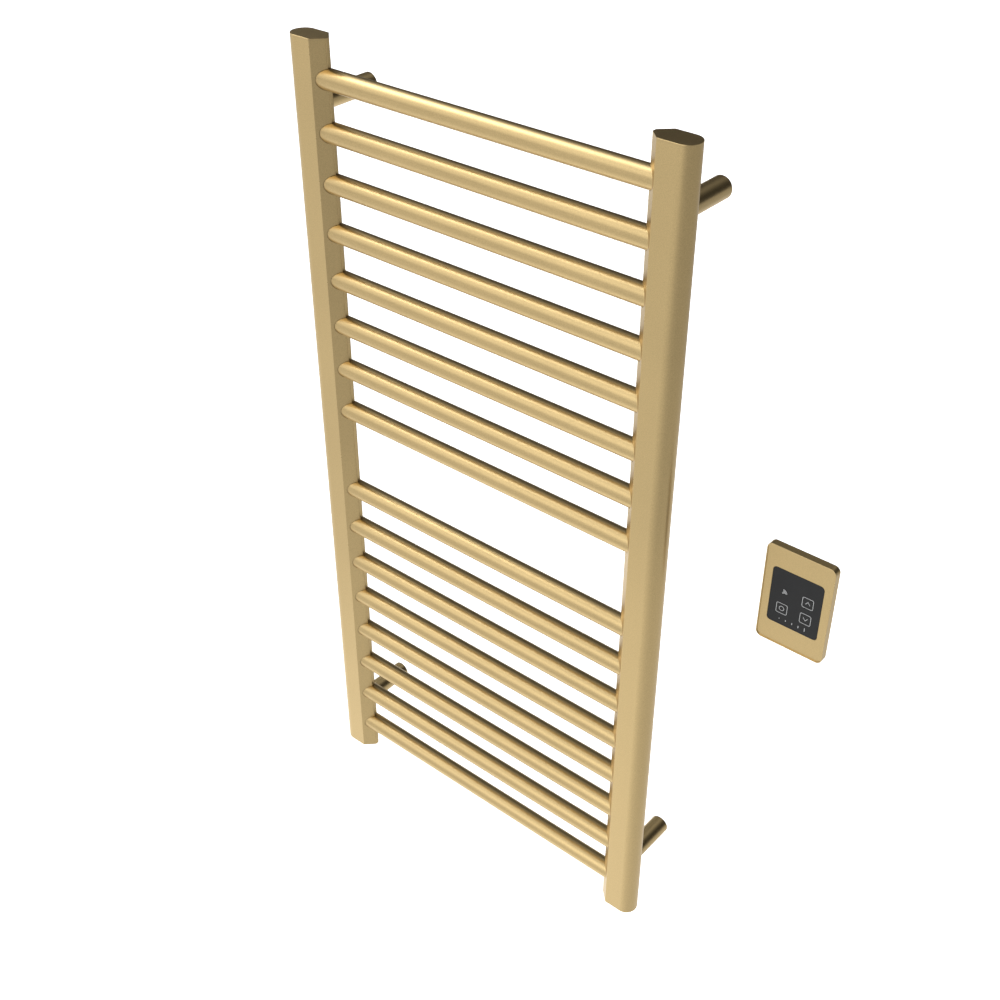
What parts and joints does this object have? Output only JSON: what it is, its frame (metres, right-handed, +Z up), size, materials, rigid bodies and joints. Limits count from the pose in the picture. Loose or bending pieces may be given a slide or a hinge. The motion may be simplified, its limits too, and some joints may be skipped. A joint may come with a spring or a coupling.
{
  "type": "towel warmer rack",
  "caption": "Wall-mounted electric towel warmer: heated round tubes between two chamfered uprights on wall standoffs, with a separate wall touch controller.",
  "frame": {"origin": "on the finished wall surface, midway between the two uprights, level with the bottom of the uprights", "axes": "+X to the right seen from the room, +Y into the wall (the rack stands in front of it, towards -Y), +Z up"},
  "size_m": [0.6552, 0.0961, 1],
  "materials": {
    "gold_metal": "satin champagne-gold metal coating over stainless steel, very fine even grain",
    "zinc_steel": "zinc plated, satin",
    "screw_steel": "machined stainless steel",
    "black_rubber": "matt black rubber",
    "foam": "matt black adhesive foam",
    "heating_silicone": "matt red-brown silicone insulation",
    "lead_sheath": "black cable sheath",
    "earth_insulation": "green wire insulation",
    "touch_glass": "back-painted dark grey glass, satin",
    "diffuser": "milky acrylic",
    "circuit_board": "green solder mask",
    "chip_black": "moulded epoxy",
    "shield_can": "bright pressed steel"
  },
  "bodies": {
    "wall_mount": {"wall_spigot_top_left": "zinc_steel", "wall_spigot_top_right": "zinc_steel", "wall_spigot_bottom_left": "zinc_steel", "wall_spigot_bottom_right": "zinc_steel", "controller_back_plate": "zinc_steel", "controller_faceplate": "gold_metal", "touch_glass": "touch_glass", "glass_gasket": "foam", "light_guide": "diffuser", "control_board": "circuit_board", "control_chip": "chip_black", "radio_module": "shield_can", "coin_cell": "shield_can", "battery_clip": "zinc_steel", "board_screw_1": "screw_steel", "board_screw_2": "screw_steel", "board_screw_3": "screw_steel", "board_screw_4": "screw_steel", "faceplate_lock_screw": "screw_steel"},
    "rack": {"bar_01": "gold_metal", "bar_02": "gold_metal", "bar_03": "gold_metal", "bar_04": "gold_metal", "bar_05": "gold_metal", "bar_06": "gold_metal", "bar_07": "gold_metal", "bar_08": "gold_metal", "bar_09": "gold_metal", "bar_10": "gold_metal", "bar_11": "gold_metal", "bar_12": "gold_metal", "bar_13": "gold_metal", "bar_14": "gold_metal", "bar_15": "gold_metal", "bar_16": "gold_metal", "cable_end_seal": "black_rubber", "cable_gland": "black_rubber", "cold_lead": "lead_sheath", "earth_nut": "screw_steel", "earth_ring_terminal": "zinc_steel", "earth_stud": "screw_steel", "earth_wire": "earth_insulation", "end_cap_bottom_left": "gold_metal", "end_cap_bottom_right": "gold_metal", "end_cap_top_left": "gold_metal", "end_cap_top_right": "gold_metal", "grub_screw_bottom_left": "screw_steel", "grub_screw_bottom_right": "screw_steel", "grub_screw_top_left": "screw_steel", "grub_screw_top_right": "screw_steel", "heating_cable": "heating_silicone", "standoff_bottom_left": "gold_metal", "standoff_bottom_right": "gold_metal", "standoff_top_left": "gold_metal", "standoff_top_right": "gold_metal", "thermal_limiter": "black_rubber", "upright_left": "gold_metal", "upright_right": "gold_metal"}
  },
  "joints": [
    {"name": "depth_slide", "type": "slide", "parent": "wall_mount", "child": "rack", "axis": [0, -1, 0], "range_m": [0, 0.012]}
  ]
}
